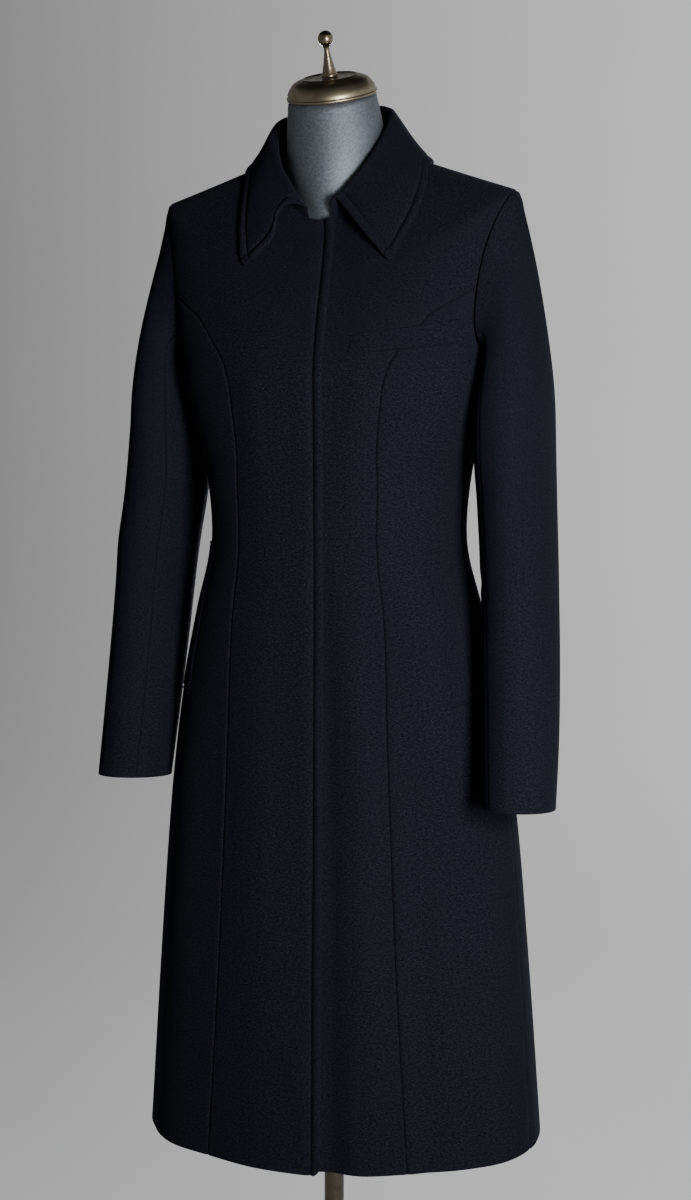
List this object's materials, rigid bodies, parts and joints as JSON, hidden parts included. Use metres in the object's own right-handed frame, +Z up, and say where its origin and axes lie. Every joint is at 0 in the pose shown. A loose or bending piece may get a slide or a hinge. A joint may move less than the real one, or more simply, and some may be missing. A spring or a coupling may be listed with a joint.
{
  "type": "wool overcoat on a limbless dress form and stand",
  "caption": "Knee-length fitted wool overcoat with rolled collar, hidden front fastening and welt pockets, worn on a limbless dress form on a pole stand with a round base.",
  "frame": {"origin": "centre of the base's underside, on the axis of the pole", "axes": "+Z up, the coat's front faces -Y, its wearer's left is +X"},
  "size_m": [0.5193, 0.3876, 1.4958],
  "materials": {
    "wool": "very dark navy felted melton, matt with a short nap",
    "form_cover": "blue-grey satin-faced cotton",
    "brass": "aged brass, brushed",
    "stand_steel": "warm grey plated tube",
    "base_iron": "dark satin enamel"
  },
  "bodies": {
    "root": {"right_front": "wool", "left_front": "wool", "right_side_front": "wool", "left_side_front": "wool", "right_back": "wool", "left_back": "wool", "right_sleeve_upper": "wool", "right_sleeve_under": "wool", "left_sleeve_upper": "wool", "left_sleeve_under": "wool", "collar": "wool", "chest_welt": "wool", "right_hip_welt": "wool", "left_hip_welt": "wool", "form_torso": "form_cover", "neck_cap": "brass", "finial": "brass", "pole": "stand_steel", "pole_hub": "stand_steel", "base": "base_iron"}
  },
  "joints": []
}
